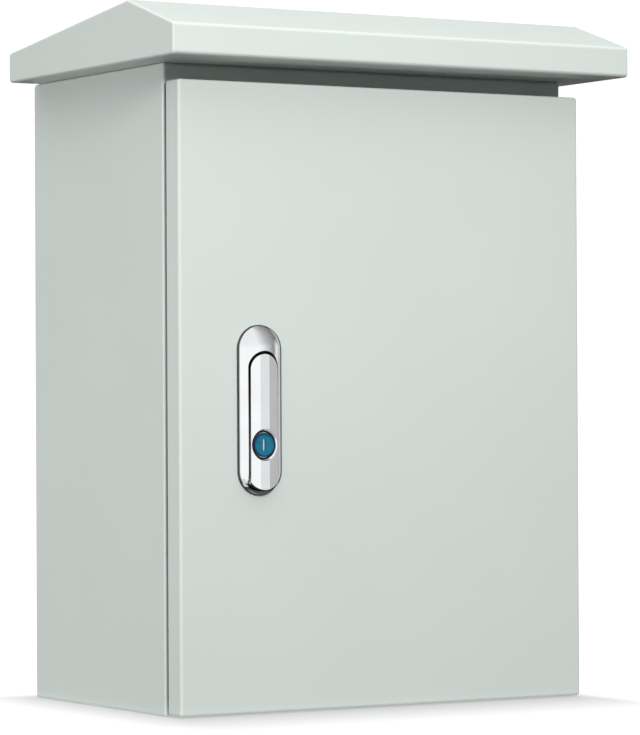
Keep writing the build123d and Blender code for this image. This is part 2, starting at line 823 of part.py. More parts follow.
# Every piece by its name
lower_hinge, upper_hinge = hinge_heights
pieces = {
    "cabinet_shell": cabinet_shell(),
    "rain_hood": rain_hood(),
    "hood_washers": hood_washers(),
    "hood_screws": hood_screws(),
    "hood_nuts": hood_nuts(),
    "mounting_plate": mounting_plate(),
    "plate_studs": plate_studs(),
    "plate_washers": plate_washers(),
    "plate_nuts": plate_nuts(),
    "gland_plate": gland_plate(),
    "gland_gasket": gland_gasket(),
    "gland_studs": gland_studs(),
    "gland_nuts": gland_nuts(),
    "cable_grommets": cable_grommets(),
    "earth_stud": earth_stud(),
    "earth_washer": earth_washer(),
    "earth_nut": earth_nut(),
    "hinge_arm_upper": hinge_arm(upper_hinge),
    "hinge_arm_lower": hinge_arm(lower_hinge),
    "door_panel": door_panel(),
    "door_gasket": door_gasket(),
    "hinge_bracket_upper": hinge_bracket(upper_hinge),
    "hinge_bracket_lower": hinge_bracket(lower_hinge),
    "hinge_pin_upper": hinge_pin(upper_hinge),
    "hinge_pin_lower": hinge_pin(lower_hinge),
    "door_earth_stud": door_earth_stud(),
    "door_earth_nut": door_earth_nut(),
    "lock_base": lock_base(),
    "lock_seal": lock_seal(),
    "lock_clamps": lock_clamps(),
    "lock_screws": lock_screws(),
    "lock_lever": lock_lever(),
    "lever_pin": lever_pin(),
    "lever_spring": lever_spring(),
    "lock_barrel": lock_barrel(),
    "barrel_nut": barrel_nut(),
    "key_plug": key_plug(),
    "key_shutter": key_shutter(),
    "plug_cap": plug_cap(),
    "latch_cam": latch_cam(),
    "cam_washer": cam_washer(),
    "cam_nut": cam_nut(),
}

os.makedirs("parts", exist_ok=True)
for name, piece in pieces.items():
    export_step(piece, f"parts/{name}.step")
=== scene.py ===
import json
import math

import bpy
from mathutils import Matrix, Vector


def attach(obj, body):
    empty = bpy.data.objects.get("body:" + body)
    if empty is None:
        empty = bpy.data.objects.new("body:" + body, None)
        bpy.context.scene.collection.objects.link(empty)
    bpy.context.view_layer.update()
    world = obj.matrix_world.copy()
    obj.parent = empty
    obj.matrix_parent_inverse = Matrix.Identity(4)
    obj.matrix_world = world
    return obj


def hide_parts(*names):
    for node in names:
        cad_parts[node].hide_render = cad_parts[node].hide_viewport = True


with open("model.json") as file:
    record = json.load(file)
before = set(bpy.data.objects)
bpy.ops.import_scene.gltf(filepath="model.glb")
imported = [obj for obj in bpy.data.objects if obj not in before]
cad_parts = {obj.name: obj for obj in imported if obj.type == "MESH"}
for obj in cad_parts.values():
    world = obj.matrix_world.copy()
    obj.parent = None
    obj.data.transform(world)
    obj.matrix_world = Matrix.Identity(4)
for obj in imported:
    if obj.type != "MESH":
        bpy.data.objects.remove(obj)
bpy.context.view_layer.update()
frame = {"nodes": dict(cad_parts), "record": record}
bpy.ops.object.select_all(action="DESELECT")
print("frame loaded:", len(frame["nodes"]), "nodes")


# material helpers, every pattern sits on Object coordinates in metres
noiseSpan = (0.3, 0.7)  # noise mostly stays between these
mixSockets = {"FLOAT": (2, 3, 0), "VECTOR": (4, 5, 1), "RGBA": (6, 7, 2)}  # two inputs and the output


def startMaterial(name):
    material = bpy.data.materials.new(name)
    material.use_nodes = True
    shader = material.node_tree.nodes["Principled BSDF"]
    return material, material.node_tree, shader


def addNode(tree, kind, **values):
    node = tree.nodes.new(kind)
    for key, value in values.items():
        if key in node.inputs:
            node.inputs[key].default_value = value
        else:
            setattr(node, key, value)
    return node


def objectSpace(tree):
    return addNode(tree, "ShaderNodeTexCoord").outputs["Object"]


def noiseAt(tree, scale, detail=2.0, roughness=0.5):
    noise = addNode(tree, "ShaderNodeTexNoise", Scale=scale, Detail=detail, Roughness=roughness)
    tree.links.new(objectSpace(tree), noise.inputs["Vector"])
    return noise.outputs["Fac"]


def cellsAt(tree, scale):
    cells = addNode(tree, "ShaderNodeTexVoronoi", Scale=scale)
    tree.links.new(objectSpace(tree), cells.inputs["Vector"])
    return cells


def spread(tree, value, low, high, fromLow=noiseSpan[0], fromHigh=noiseSpan[1]):
    ranged = addNode(tree, "ShaderNodeMapRange")
    ranged.inputs["From Min"].default_value = fromLow
    ranged.inputs["From Max"].default_value = fromHigh
    ranged.inputs["To Min"].default_value = low
    ranged.inputs["To Max"].default_value = high
    tree.links.new(value, ranged.inputs["Value"])
    return ranged.outputs["Result"]


def tint(tree, value, dark, light):
    ramp = addNode(tree, "ShaderNodeValToRGB")
    for point, position, tone in zip(ramp.color_ramp.elements, noiseSpan, (dark, light)):
        point.position = position
        point.color = (*tone, 1)
    tree.links.new(value, ramp.inputs["Fac"])
    return ramp.outputs["Color"]


# a socket takes a link, a number, or for a colour three numbers or one grey
def feed(tree, socket, value):
    if isinstance(value, bpy.types.NodeSocket):
        tree.links.new(value, socket)
    elif socket.type != "RGBA":
        socket.default_value = value
    elif isinstance(value, tuple):
        socket.default_value = (*value, 1)
    else:
        socket.default_value = (value, value, value, 1)


def blend(tree, kind, factor, low, high):
    node = addNode(tree, "ShaderNodeMix", data_type=kind)
    lowSocket, highSocket, output = mixSockets[kind]
    tree.links.new(factor, node.inputs[0])
    feed(tree, node.inputs[lowSocket], low)
    feed(tree, node.inputs[highSocket], high)
    return node.outputs[output]


def blendTones(tree, factor, low, high):
    return blend(tree, "RGBA", factor, low, high)


def blendValues(tree, factor, low, high):
    return blend(tree, "FLOAT", factor, low, high)


def calc(tree, operation, first, second=0.0):
    node = addNode(tree, "ShaderNodeMath", operation=operation)
    feed(tree, node.inputs[0], first)
    feed(tree, node.inputs[1], second)
    return node.outputs["Value"]


def splitAxes(tree, vector):
    axes = addNode(tree, "ShaderNodeSeparateXYZ")
    tree.links.new(vector, axes.inputs["Vector"])
    return axes.outputs


def objectAxes(tree):
    return splitAxes(tree, objectSpace(tree))


def diagonal(tree, first, second):
    squares = [calc(tree, "MULTIPLY", side, side) for side in (first, second)]
    return calc(tree, "SQRT", calc(tree, "ADD", *squares))


# distance from a point, or from an upright line that ends at lowZ and highZ, seen from the front
def frontDistance(tree, x, lowZ, highZ):
    axes = objectAxes(tree)
    across = calc(tree, "SUBTRACT", axes["X"], x)
    above = calc(tree, "MAXIMUM", calc(tree, "SUBTRACT", axes["Z"], highZ), 0.0)
    below = calc(tree, "MAXIMUM", calc(tree, "SUBTRACT", lowZ, axes["Z"]), 0.0)
    return diagonal(tree, across, calc(tree, "ADD", above, below))


def addBump(tree, shader, height, depth):
    bump = addNode(tree, "ShaderNodeBump", Strength=1.0, Distance=depth)
    tree.links.new(height, bump.inputs["Height"])
    tree.links.new(bump.outputs["Normal"], shader.inputs["Normal"])
    return bump


# powder coat on the three folded sheets: faint clouding and a fine orange peel
powderCoat = {
    "dark": (0.590, 0.645, 0.615),
    "light": (0.610, 0.662, 0.634),
    "cloudScale": 9.0,
    "peelScale": 650.0,
    "peelDepth": 0.000006,
    "roughness": (0.34, 0.42),
}


def makePowderCoat(spec):
    material, tree, shader = startMaterial("powderCoat")
    clouds = noiseAt(tree, spec["cloudScale"], detail=3)
    peel = noiseAt(tree, spec["peelScale"], detail=1)
    tree.links.new(tint(tree, clouds, spec["dark"], spec["light"]), shader.inputs["Base Color"])
    tree.links.new(spread(tree, peel, *spec["roughness"]), shader.inputs["Roughness"])
    addBump(tree, shader, peel, spec["peelDepth"])
    return material


# plated and bare metals share one recipe, with their own colour and grain
metalFinishes = {
    "zinc_steel": {"dark": (0.52, 0.53, 0.54), "light": (0.66, 0.67, 0.67), "scale": 240.0,
                   "roughness": (0.26, 0.40), "depth": 0.000008},
    "bright_steel": {"dark": (0.60, 0.61, 0.62), "light": (0.72, 0.73, 0.74), "scale": 420.0,
                     "roughness": (0.14, 0.24), "depth": 0.000004},
    "copper_coat": {"dark": (0.60, 0.30, 0.17), "light": (0.76, 0.42, 0.26), "scale": 300.0,
                    "roughness": (0.22, 0.38), "depth": 0.000006},
    "bright_chrome": {"dark": (0.78, 0.79, 0.80), "light": (0.83, 0.84, 0.85), "scale": 60.0,
                      "roughness": (0.09, 0.14), "depth": 0.000002},
}


def makeMetal(name, spec):
    material, tree, shader = startMaterial(name)
    shader.inputs["Metallic"].default_value = 1.0
    grain = noiseAt(tree, spec["scale"], detail=4)
    tree.links.new(tint(tree, grain, spec["dark"], spec["light"]), shader.inputs["Base Color"])
    tree.links.new(spread(tree, grain, *spec["roughness"]), shader.inputs["Roughness"])
    addBump(tree, shader, grain, spec["depth"])
    return material


# galvanised sheet shows its spangle as patches of brighter and duller crystal
galvanisedSheet = {
    "dark": (0.50, 0.52, 0.54),
    "light": (0.64, 0.66, 0.68),
    "spangleScale": 170.0,
    "feather": {"scale": 60.0, "detail": 5, "roughness": 0.7},
    "dullCrystal": 0.5,
    "roughness": (0.34, 0.46),
}


def makeGalvanisedSheet(spec):
    material, tree, shader = startMaterial("galvanisedSheet")
    shader.inputs["Metallic"].default_value = 1.0
    spangle = cellsAt(tree, spec["spangleScale"])
    crystal = addNode(tree, "ShaderNodeRGBToBW")
    tree.links.new(spangle.outputs["Color"], crystal.inputs["Color"])
    feather = noiseAt(tree, **spec["feather"])
    patch = blendValues(tree, feather, crystal.outputs["Val"], spec["dullCrystal"])
    tree.links.new(tint(tree, patch, spec["dark"], spec["light"]), shader.inputs["Base Color"])
    tree.links.new(spread(tree, patch, *spec["roughness"]), shader.inputs["Roughness"])
    return material


# rubber and foam
softFinishes = {
    "black_rubber": {"dark": (0.034, 0.034, 0.035), "light": (0.058, 0.058, 0.060), "scale": 900.0,
                     "roughness": (0.52, 0.68), "depth": 0.00002},
    "grey_foam": {"dark": (0.030, 0.031, 0.033), "light": (0.075, 0.077, 0.080), "scale": 1400.0,
                  "roughness": (0.82, 0.95), "depth": 0.00012},
}


def makeSoft(name, spec):
    material, tree, shader = startMaterial(name)
    grain = noiseAt(tree, spec["scale"], detail=3)
    pores = cellsAt(tree, spec["scale"]).outputs["Distance"]
    tree.links.new(tint(tree, grain, spec["dark"], spec["light"]), shader.inputs["Base Color"])
    tree.links.new(spread(tree, grain, *spec["roughness"]), shader.inputs["Roughness"])
    addBump(tree, shader, pores, spec["depth"])
    return material


# the handle housing is plated outside only and the back is bare casting. The slot for the lever and
# the foot below its pivot are dull, with painted shade, dark above and lighter below, and a painted
# reflection on the foot's lower roll; the rim takes a painted shade band where it rolls under, more on the
# right
handleHousing = {
    "x": -0.094,
    "slotTop": 0.2166, "slotHalf": 0.01065, "slotEdge": 0.00004,
    "recessPaintedShade": (0.006, 0.007, 0.007), "recessShadeFadedTone": (0.70, 0.68, 0.66), "recessShadeFade": (0.165, 0.210),
    "recessRoughness": 0.62,
    "footTop": 0.1426, "footEdge": 0.0001,
    "footPaintedShade": (0.026, 0.028, 0.029), "footPaintedReflection": (0.34, 0.36, 0.35), "footShadeFade": (0.1382, 0.1414),
    "rimShadeX": -0.0950, "rimSpine": (0.1526, 0.2288), "rimBand": (0.0138, 0.0146),
    "rimToneAndShade": (0.07, 0.08, 0.08),
    "backFace": -0.0848, "backEdge": 0.0002,
    "castTone": (0.34, 0.35, 0.36), "castRoughness": 0.48, "castScale": 900.0, "castDepth": 0.00002,
    "crownZ": 0.2280, "crownTop": (0.00128, 0.00142),
}


def softStep(level, edge):
    return level - edge, level + edge


# a sliver at the top of the crown bends the smooth normals, so that spot takes its face normals
def flattenCrown(tree, bump, spec):
    crown = frontDistance(tree, spec["x"], spec["crownZ"], spec["crownZ"])
    surface = addNode(tree, "ShaderNodeNewGeometry").outputs
    top = spread(tree, crown, 1, 0, *spec["crownTop"])
    normal = blend(tree, "VECTOR", top, surface["Normal"], surface["True Normal"])
    tree.links.new(normal, bump.inputs["Normal"])


def makeHandleHousing(spec, plating):
    material, tree, shader = startMaterial("handleHousing")
    grain = noiseAt(tree, plating["scale"], detail=4)
    cast = noiseAt(tree, spec["castScale"], detail=3)
    axes = objectAxes(tree)
    slot = frontDistance(tree, spec["x"], 0.0, spec["slotTop"])
    edge = frontDistance(tree, spec["rimShadeX"], *spec["rimSpine"])
    recess = spread(tree, slot, 1, 0, *softStep(spec["slotHalf"], spec["slotEdge"]))
    foot = spread(tree, axes["Z"], 1, 0, *softStep(spec["footTop"], spec["footEdge"]))
    dull = calc(tree, "MAXIMUM", recess, foot)
    rim = spread(tree, edge, 0, 1, *spec["rimBand"])
    back = spread(tree, axes["Y"], 0, 1, *softStep(spec["backFace"], spec["backEdge"]))
    # painted shade band on the rim where it rolls under, its middle set left of the housing so the right
    # side is darker
    tone = blendTones(tree, rim, tint(tree, grain, plating["dark"], plating["light"]), spec["rimToneAndShade"])
    tone = blendTones(tree, back, tone, spec["castTone"])
    # painted shade in the slot, near black at the top and fading to light grey lower down
    deep = spread(tree, axes["Z"], 0, 1, *spec["recessShadeFade"])
    tone = blendTones(tree, recess, tone, blendTones(tree, deep, spec["recessShadeFadedTone"], spec["recessPaintedShade"]))
    # painted shade on the foot, turning on its lower roll into a painted reflection of the door's light
    raised = spread(tree, axes["Z"], 0, 1, *spec["footShadeFade"])
    tone = blendTones(tree, foot, tone, blendTones(tree, raised, spec["footPaintedReflection"], spec["footPaintedShade"]))
    polish = blendValues(tree, back, spread(tree, grain, *plating["roughness"]), spec["castRoughness"])
    polish = blendValues(tree, dull, polish, spec["recessRoughness"])
    tree.links.new(tone, shader.inputs["Base Color"])
    tree.links.new(polish, shader.inputs["Roughness"])
    tree.links.new(calc(tree, "SUBTRACT", 1.0, dull), shader.inputs["Metallic"])
    bump = addBump(tree, shader, calc(tree, "MULTIPLY", cast, back), spec["castDepth"])
    flattenCrown(tree, bump, spec)
    return material


# the blue cap over the key plug: a lighter dish inside a dark rim, whose darkness is partly a darker blue
# and partly painted shade
blueCap = {
    "axis": (-0.094, 0.1686),
    "dark": (0.003, 0.125, 0.195),
    "light": (0.006, 0.180, 0.285),
    "rimToneAndShade": (0.003, 0.022, 0.075), "rimBand": (0.0061, 0.0070),
    "flowScale": 260.0,
    "gloss": 0.2,
    "roughness": (0.12, 0.20),
}


def makeBlueCap(spec):
    material, tree, shader = startMaterial("blueCap")
    shader.inputs["Specular IOR Level"].default_value = spec["gloss"]
    flow = noiseAt(tree, spec["flowScale"])
    x, z = spec["axis"]
    radius = frontDistance(tree, x, z, z)
    rim = spread(tree, radius, 0, 1, *spec["rimBand"])
    # the rim's darker tone is partly a darker blue and partly painted shade
    tone = blendTones(tree, rim, tint(tree, flow, spec["dark"], spec["light"]), spec["rimToneAndShade"])
    tree.links.new(tone, shader.inputs["Base Color"])
    tree.links.new(spread(tree, flow, *spec["roughness"]), shader.inputs["Roughness"])
    return material


def finishForSlots():
    finishes = {"powder_coat": makePowderCoat(powderCoat)}
    finishes["galvanised_steel"] = makeGalvanisedSheet(galvanisedSheet)
    finishes["blue_cap"] = makeBlueCap(blueCap)
    for name, spec in metalFinishes.items():
        finishes[name] = makeMetal(name, spec)
    for name, spec in softFinishes.items():
        finishes[name] = makeSoft(name, spec)
    return finishes


finishes = finishForSlots()
slotOfNode = {row["node"]: row["material_slot"] for row in frame["record"]["subparts"]}
housingFinish = makeHandleHousing(handleHousing, metalFinishes["bright_chrome"])
for nodeName, node in frame["nodes"].items():
    node.data.materials.clear()
    node.data.materials.append(housingFinish if nodeName == "lock_base" else finishes[slotOfNode[nodeName]])
print("finishes set:", len(finishes))


# drawing helpers: a profile is drawn point by point beside the Z axis, then turned about it
mergeWithin = 0.000002
smoothAngle = math.radians(32)


def drawProfile(name, points):
    bpy.ops.object.select_all(action="DESELECT")
    bpy.ops.mesh.primitive_plane_add(size=0.001)
    piece = bpy.context.object
    piece.name = name
    bpy.ops.object.mode_set(mode="EDIT")
    bpy.ops.mesh.merge(type="CENTER")
    bpy.ops.transform.translate(value=(points[0][0], 0, points[0][1]))
    for (x, z), (nextX, nextZ) in zip(points, points[1:]):
        step = (nextX - x, 0, nextZ - z)
        bpy.ops.mesh.extrude_vertices_move(TRANSFORM_OT_translate={"value": step})
    return piece


def closeAndTurnOut():
    bpy.ops.mesh.select_all(action="SELECT")
    bpy.ops.mesh.remove_doubles(threshold=mergeWithin)
    bpy.ops.mesh.normals_make_consistent(inside=False)


def selectVerts(piece, test):
    bpy.ops.mesh.select_mode(type="VERT")
    bpy.ops.mesh.select_all(action="DESELECT")
    bpy.ops.object.mode_set(mode="OBJECT")
    for vertex in piece.data.vertices:
        vertex.select = test(vertex.co)
    bpy.ops.object.mode_set(mode="EDIT")


def applyAll(piece):
    bpy.context.view_layer.objects.active = piece
    for modifier in list(piece.modifiers):
        bpy.ops.object.modifier_apply(modifier=modifier.name)


# a rolled thread: one pitch of its flank, wound up the shank, cut flat and run out at the tip.
# The depth and the rises along the flank are shares of the pitch
threadForm = {"depth": 0.61, "rootTo": 0.14, "crest": (0.46, 0.58), "rootFrom": 0.90, "steps": 20,
              "runOut": (1.0, 0.5, 0.25), "taper": 0.93}


def makeThread(name, radius, pitch, bottom, top, runOut):
    core = radius - threadForm["depth"] * pitch
    crestFrom, crestTo = threadForm["crest"]
    flank = [(core, 0), (core, threadForm["rootTo"]), (radius, crestFrom), (radius, crestTo),
             (core, threadForm["rootFrom"]), (core, 1)]
    turns = math.ceil((top - bottom) / pitch) + 2
    start = bottom - pitch
    thread = drawProfile(name, [(x, start + rise * pitch) for x, rise in flank])
    bpy.ops.object.mode_set(mode="OBJECT")
    wind = thread.modifiers.new("wind", "SCREW")
    wind.axis = "Z"
    wind.angle = math.tau
    wind.screw_offset = pitch
    wind.iterations = turns
    wind.steps = threadForm["steps"]
    wind.render_steps = threadForm["steps"]
    wind.use_merge_vertices = True
    wind.merge_threshold = mergeWithin
    applyAll(thread)
    bpy.ops.object.mode_set(mode="EDIT")
    closeAndTurnOut()
    for level, direction in ((bottom, -1), (top, 1)):
        bpy.ops.mesh.select_all(action="SELECT")
        bpy.ops.mesh.bisect(plane_co=(0, 0, level), plane_no=(0, 0, direction),
                            use_fill=True, clear_outer=True)
    closeAndTurnOut()
    taper = threadForm["taper"]
    for share in threadForm["runOut"]:
        selectVerts(thread, lambda co, share=share: co.z > top - runOut * share)
        bpy.ops.transform.resize(value=(taper, taper, 1), center_override=(0, 0, top))
    bpy.ops.object.mode_set(mode="OBJECT")
    return thread


# a turned body: a closed profile spun a full turn
def makeTurned(name, points, steps=32):
    turned = drawProfile(name, points)
    bpy.ops.mesh.select_all(action="SELECT")
    bpy.ops.mesh.spin(steps=steps, angle=math.tau, center=(0, 0, 0), axis=(0, 0, 1))
    closeAndTurnOut()
    bpy.ops.object.mode_set(mode="OBJECT")
    return turned


def joinPieces(name, parts):
    bpy.ops.object.select_all(action="DESELECT")
    for part in parts:
        part.select_set(True)
    bpy.context.view_layer.objects.active = parts[0]
    bpy.ops.object.join()
    joined = bpy.context.object
    joined.name = name
    return joined


# every repeat is a copy with its own mesh, set in its place, and the set is one piece
def setOut(name, model, places):
    copies = []
    for place in places:
        copy = model.copy()
        copy.data = model.data.copy()
        bpy.context.collection.objects.link(copy)
        copy.matrix_world = place
        copies.append(copy)
    bpy.data.objects.remove(model)
    whole = joinPieces(name, copies)
    bpy.ops.object.select_all(action="DESELECT")
    whole.select_set(True)
    bpy.ops.object.transform_apply(location=True, rotation=True, scale=True)
    return whole


def finishPiece(piece, body, slotName, nodes=()):
    bpy.ops.object.select_all(action="DESELECT")
    bpy.context.view_layer.objects.active = piece
    piece.select_set(True)
    bpy.ops.object.shade_smooth_by_angle(angle=smoothAngle)
    piece.data.materials.clear()
    piece.data.materials.append(finishes[slotName])
    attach(piece, body)
    if nodes:
        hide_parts(*nodes)
    piece.select_set(False)


def facing(x, y, z, turnX=0.0):
    return Matrix.Translation((x, y, z)) @ Matrix.Rotation(math.radians(turnX), 4, "X")


# weld studs: a shouldered foot with an eased edge, then the thread
studForm = {"runOut": 0.8, "ease": 0.12}
studSets = {
    "plateStuds": {
        "node": "plate_studs", "body": "cabinet", "slot": "zinc_steel", "radius": 0.0030, "pitch": 0.0010,
        "threadFrom": -0.0016, "tip": 0.0106, "footRadius": 0.0060, "footFrom": -0.0155, "footTo": -0.0015,
        "places": [facing(x, 0.0983, z, 90) for x in (-0.107, 0.107) for z in (0.0765, 0.3305)],
    },
    "glandStuds": {
        "node": "gland_studs", "body": "cabinet", "slot": "zinc_steel", "radius": 0.0025, "pitch": 0.0008,
        "threadFrom": 0.0012, "tip": 0.0117, "footRadius": 0.0025, "footFrom": 0.0012, "footTo": 0.0016,
        "places": [facing(x, y, 0) for x in (-0.085, 0.085) for y in (-0.021, 0.041)],
    },
    "earthStud": {
        "node": "earth_stud", "body": "cabinet", "slot": "copper_coat", "radius": 0.0040, "pitch": 0.00125,
        "threadFrom": 0.0018, "tip": 0.0220, "footRadius": 0.0070, "footFrom": 0.0, "footTo": 0.0020,
        "places": [facing(0.116, 0.081, 0.0012)],
    },
    "doorEarthStud": {
        "node": "door_earth_stud", "body": "door", "slot": "copper_coat", "radius": 0.0030, "pitch": 0.0010,
        "threadFrom": 0.0013, "tip": 0.0160, "footRadius": 0.0055, "footFrom": 0.0, "footTo": 0.0015,
        "places": [facing(-0.104, -0.0838, 0.060, -90)],
    },
}


def makeStudSet(name, spec):
    runOut = studForm["runOut"] * spec["pitch"]
    thread = makeThread(name, spec["radius"], spec["pitch"], spec["threadFrom"], spec["tip"], runOut)
    wide, low, high = spec["footRadius"], spec["footFrom"], spec["footTo"]
    ease = studForm["ease"] * (high - low)
    foot = makeTurned(name + "Foot", [
        (0, low), (wide, low), (wide, high - ease), (wide - ease, high), (0, high)])
    stud = joinPieces(name, [thread, foot])
    studs = setOut(name, stud, spec["places"])
    finishPiece(studs, spec["body"], spec["slot"], [spec["node"]])


for setName, studSet in studSets.items():
    makeStudSet(setName, studSet)
print("studs threaded:", len(studSets))


# pan head screws with a cross recess, their forms as shares of the head
screwForm = {"dome": 0.62, "domeDegrees": (15, 30, 45, 60, 75, 90), "edge": 0.1, "seat": 0.96, "steps": 40,
             "recessDepth": 0.55, "recessTaper": 0.55}
screwSets = {
    "hoodScrews": {
        "node": "hood_screws", "body": "cabinet", "slot": "zinc_steel", "radius": 0.0030, "pitch": 0.0010,
        "headRadius": 0.0060, "headHeight": 0.0036, "length": 0.0114, "recess": 0.0034, "blade": 0.0011,
        "places": [facing(x, y, 0.4038) for x in (-0.139, 0.139) for y in (-0.054, 0.100)],
    },
    "lockScrews": {
        "node": "lock_screws", "body": "door", "slot": "zinc_steel", "radius": 0.0020, "pitch": 0.0007,
        "headRadius": 0.0038, "headHeight": 0.0024, "length": 0.0085, "recess": 0.0022, "blade": 0.0008,
        "places": [facing(-0.094, -0.0735, z, 90) for z in (0.2163, 0.1893)],
    },
}


def makeCrossRecess(reach, blade, level, depth):
    bars = []
    for size in ((reach, blade), (blade, reach)):
        bpy.ops.object.select_all(action="DESELECT")
        bpy.ops.mesh.primitive_cube_add(size=1, location=(0, 0, level))
        bar = bpy.context.object
        bpy.ops.object.mode_set(mode="EDIT")
        bpy.ops.transform.resize(value=(2 * size[0], 2 * size[1], 2 * depth))
        selectVerts(bar, lambda co: co.z > 0)
        taper = screwForm["recessTaper"]
        bpy.ops.transform.resize(value=(taper, taper, 1), center_override=(0, 0, level))
        bpy.ops.object.mode_set(mode="OBJECT")
        bars.append(bar)
    return bars


# the head hangs below its seat at zero, its dome and recess facing down
def makeScrewSet(name, spec):
    wide, deep = spec["headRadius"], spec["headHeight"]
    edge = -screwForm["edge"] * deep
    dome = [(wide * math.sin(turn), -deep + screwForm["dome"] * deep * (1 - math.cos(turn)))
            for turn in map(math.radians, screwForm["domeDegrees"])]
    outline = [(0, -deep)] + dome + [(wide, edge), (screwForm["seat"] * wide, 0), (0, 0)]
    head = makeTurned(name + "Head", outline, screwForm["steps"])
    for bar in makeCrossRecess(spec["recess"], spec["blade"] / 2, -deep, screwForm["recessDepth"] * deep):
        cut = head.modifiers.new("recess", "BOOLEAN")
        cut.operation = "DIFFERENCE"
        cut.solver = "EXACT"
        cut.object = bar
        applyAll(head)
        bpy.data.objects.remove(bar)
    thread = makeThread(name, spec["radius"], spec["pitch"], edge, spec["length"], spec["pitch"])
    screws = setOut(name, joinPieces(name, [head, thread]), spec["places"])
    finishPiece(screws, spec["body"], spec["slot"], [spec["node"]])


for setName, screwSet in screwSets.items():
    makeScrewSet(setName, screwSet)
print("screws cut:", len(screwSets))


# foam seal poured on the back of the door: a domed bead with the track that the lip presses into it
foamSeal = {
    "width": 0.2712, "height": 0.3655, "middle": (0.0, -0.0838, 0.19815),
    "cornerRadius": 0.0136, "cornerSteps": 12,
    "rise": [(0.00015, 0.0022), (0.00055, 0.0018), (0.0011, 0.0014), (0.0014, 0.0007), (0.0010, 0.0002),
             (0.00045, -0.00025), (0.00025, -0.00035), (0.0002, 0.0)],
}


def makeFoamSeal(spec):
    bpy.ops.object.select_all(action="DESELECT")
    bpy.ops.mesh.primitive_plane_add(size=1)
    seal = bpy.context.object
    seal.name = "foamSeal"
    bpy.ops.object.mode_set(mode="EDIT")
    bpy.ops.transform.resize(value=(spec["width"], spec["height"], 1))
    bpy.ops.mesh.bevel(affect="VERTICES", offset=spec["cornerRadius"], segments=spec["cornerSteps"])
    for inward, upward in spec["rise"]:
        bpy.ops.mesh.inset(thickness=inward, depth=upward, use_even_offset=True)
    for inward, upward in reversed(spec["rise"]):
        bpy.ops.mesh.inset(thickness=inward, depth=-upward, use_even_offset=True)
    bpy.ops.mesh.delete(type="FACE")  # the inner face is the one still selected
    bpy.ops.mesh.select_all(action="DESELECT")
    bpy.ops.mesh.select_mode(type="EDGE")
    bpy.ops.mesh.select_non_manifold()
    bpy.ops.mesh.bridge_edge_loops()
    closeAndTurnOut()
    bpy.ops.object.mode_set(mode="OBJECT")
    seal.matrix_world = facing(*spec["middle"], -90)
    bpy.ops.object.transform_apply(location=True, rotation=True, scale=True)
    finishPiece(seal, "door", "grey_foam", ["door_gasket"])


makeFoamSeal(foamSeal)
print("seal poured")


# weld beads where the hinge leaves sit on the cabinet and the brackets on the door
weldRuns = {
    "armWelds": {"body": "cabinet", "x": 0.1325, "y": -0.0650, "length": 0.026},
    "bracketWelds": {"body": "door", "x": 0.1386, "y": -0.0838, "length": 0.008},
}
weldHeights = (0.063, 0.3333)
weldBead = {"radius": 0.0010, "pitch": 0.0009, "segments": 14, "rings": 8,
            "flatten": (0.9, 0.75, 1.25), "lean": (0.86, 0.86, 0.8)}


def makeWeldRun(name, spec):
    bpy.ops.object.select_all(action="DESELECT")
    bpy.ops.mesh.primitive_uv_sphere_add(segments=weldBead["segments"], ring_count=weldBead["rings"],
                                         radius=weldBead["radius"])
    run = bpy.context.object
    bpy.ops.object.mode_set(mode="EDIT")
    bpy.ops.transform.resize(value=weldBead["flatten"])
    # each ripple leans along the run
    selectVerts(run, lambda co: co.z > 0)
    bpy.ops.transform.resize(value=weldBead["lean"], center_override=(0, 0, 0))
    bpy.ops.object.mode_set(mode="OBJECT")
    ripples = run.modifiers.new("ripples", "ARRAY")
    ripples.count = round(spec["length"] / weldBead["pitch"])
    ripples.use_relative_offset = False
    ripples.use_constant_offset = True
    ripples.constant_offset_displace = (0, 0, weldBead["pitch"])
    applyAll(run)
    start = spec["length"] / 2
    runs = setOut(name, run, [facing(spec["x"], spec["y"], height - start) for height in weldHeights])
    finishPiece(runs, spec["body"], "zinc_steel")


for runName, weldRun in weldRuns.items():
    makeWeldRun(runName, weldRun)
print("welds laid:", len(weldRuns))


# stage: white paper that glows evenly white away from the box; close round where it stands the glow fades
# and the paper takes real light, so the soft shadow there is partly real shade and partly painted shadow
floorSpec = {
    "radius": 14.0, "corners": 96,
    "tone": 0.22,
    "glow": (0.42, 1.12),
    "X": {"from": -0.150, "to": 0.150, "fade": (0.055, 0.022)},
    "Y": {"from": -0.093, "to": 0.115, "fade": (0.110, 0.030)},
}


def makeFloor(spec):
    bpy.ops.mesh.primitive_circle_add(vertices=spec["corners"], radius=spec["radius"], fill_type="TRIFAN")
    floor = bpy.context.object
    floor.name = "floor"
    floor.visible_diffuse = False
    floor.visible_glossy = False
    material, tree, shader = startMaterial("floorPaper")
    shader.inputs["Roughness"].default_value = 1.0
    shader.inputs["Specular IOR Level"].default_value = 0.0
    shader.inputs["Emission Color"].default_value = (1, 1, 1, 1)
    axes = objectAxes(tree)
    beyond = []
    for axis in "XY":
        low, high = spec[axis]["from"], spec[axis]["to"]
        fadeLow, fadeHigh = spec[axis]["fade"]
        before = spread(tree, axes[axis], 1, 0, low - fadeLow, low)
        after = spread(tree, axes[axis], 0, 1, high, high + fadeHigh)
        beyond.append(calc(tree, "ADD", before, after))
    # painted shadow: the glow fades toward the box's footprint and leaves a soft grey halo
    clear = calc(tree, "MINIMUM", diagonal(tree, *beyond), 1.0)
    tree.links.new(blendTones(tree, clear, spec["tone"], 0.0), shader.inputs["Base Color"])
    tree.links.new(blendValues(tree, clear, *spec["glow"]), shader.inputs["Emission Strength"])
    floor.data.materials.append(material)


makeFloor(floorSpec)


# light that the paper throws back into the lowest folds, from a narrow card under the floor
footGlow = {"size": (0.305, 0.205), "middle": (0.0, 0.015, -0.0005), "strength": 0.80}


